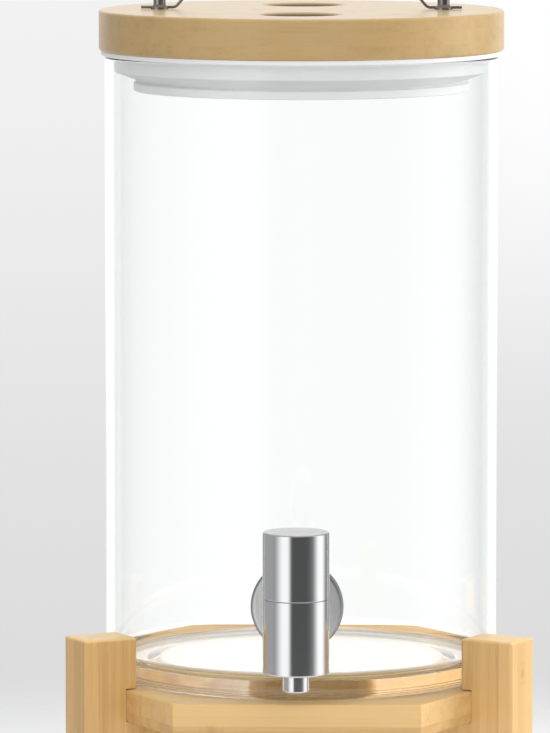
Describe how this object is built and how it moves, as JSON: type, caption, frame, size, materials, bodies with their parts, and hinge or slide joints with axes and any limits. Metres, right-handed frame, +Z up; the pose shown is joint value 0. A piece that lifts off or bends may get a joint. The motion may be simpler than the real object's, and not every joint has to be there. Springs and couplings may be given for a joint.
{
  "type": "glass beverage dispenser",
  "caption": "Clear glass drink jar on a bamboo stand with posts, a steel barrel tap at the front, and a bamboo lid with a silicone seal and a folding wire bail.",
  "frame": {"origin": "on the jar's axis, on the surface that the stand's foot pads rest on", "axes": "+Z up along the jar's axis, -Y towards the tap at the front, +X to the viewer's right"},
  "size_m": [0.224, 0.2612, 0.5038],
  "materials": {
    "bamboo": "satin lacquered bamboo with straight grain",
    "clear_glass": "clear polished",
    "polished_steel": "polished stainless",
    "plain_steel": "satin stainless",
    "silicone": "translucent white silicone",
    "dark_rubber": "matt"
  },
  "bodies": {
    "stand": {"post_front_left": "bamboo", "post_front_right": "bamboo", "post_rear": "bamboo", "platform_upper_ply": "bamboo", "platform_lower_ply": "bamboo", "post_dowels": "bamboo", "foot_pads": "dark_rubber"},
    "jar": {"glass_jar": "clear_glass", "outer_gasket": "silicone", "tap_escutcheon": "polished_steel", "tap_body": "polished_steel", "tap_shank": "plain_steel", "inner_gasket": "silicone", "inner_washer": "plain_steel", "lock_nut": "plain_steel", "tap_spout": "polished_steel", "retaining_ring": "plain_steel", "stop_pin": "plain_steel"},
    "tap_knob": {"valve_spool": "plain_steel", "spool_o_rings": "dark_rubber", "tap_handle": "polished_steel", "handle_grub_screw": "plain_steel"},
    "lid": {"lid_board": "bamboo", "lid_plug": "bamboo", "seal_ring": "silicone", "plug_screws": "plain_steel", "bail_post_left": "polished_steel", "bail_post_right": "polished_steel", "post_nuts": "plain_steel", "post_washers": "plain_steel"},
    "bail": {"bail_handle": "polished_steel"}
  },
  "joints": [
    {"name": "jar_lift", "type": "slide", "parent": "stand", "child": "jar", "axis": [0, 0, 1], "range_m": [0, 0.06]},
    {"name": "tap_turn", "type": "hinge", "parent": "jar", "child": "tap_knob", "pos_m": [0, -0.122, 0.184], "axis": [0, 0, 1], "range_deg": [0, 90]},
    {"name": "lid_lift", "type": "slide", "parent": "jar", "child": "lid", "axis": [0, 0, 1], "range_m": [0, 0.08]},
    {"name": "bail_swing", "type": "hinge", "parent": "lid", "child": "bail", "pos_m": [0, 0, 0.4541], "axis": [1, 0, 0], "range_deg": [-88, 88]}
  ]
}
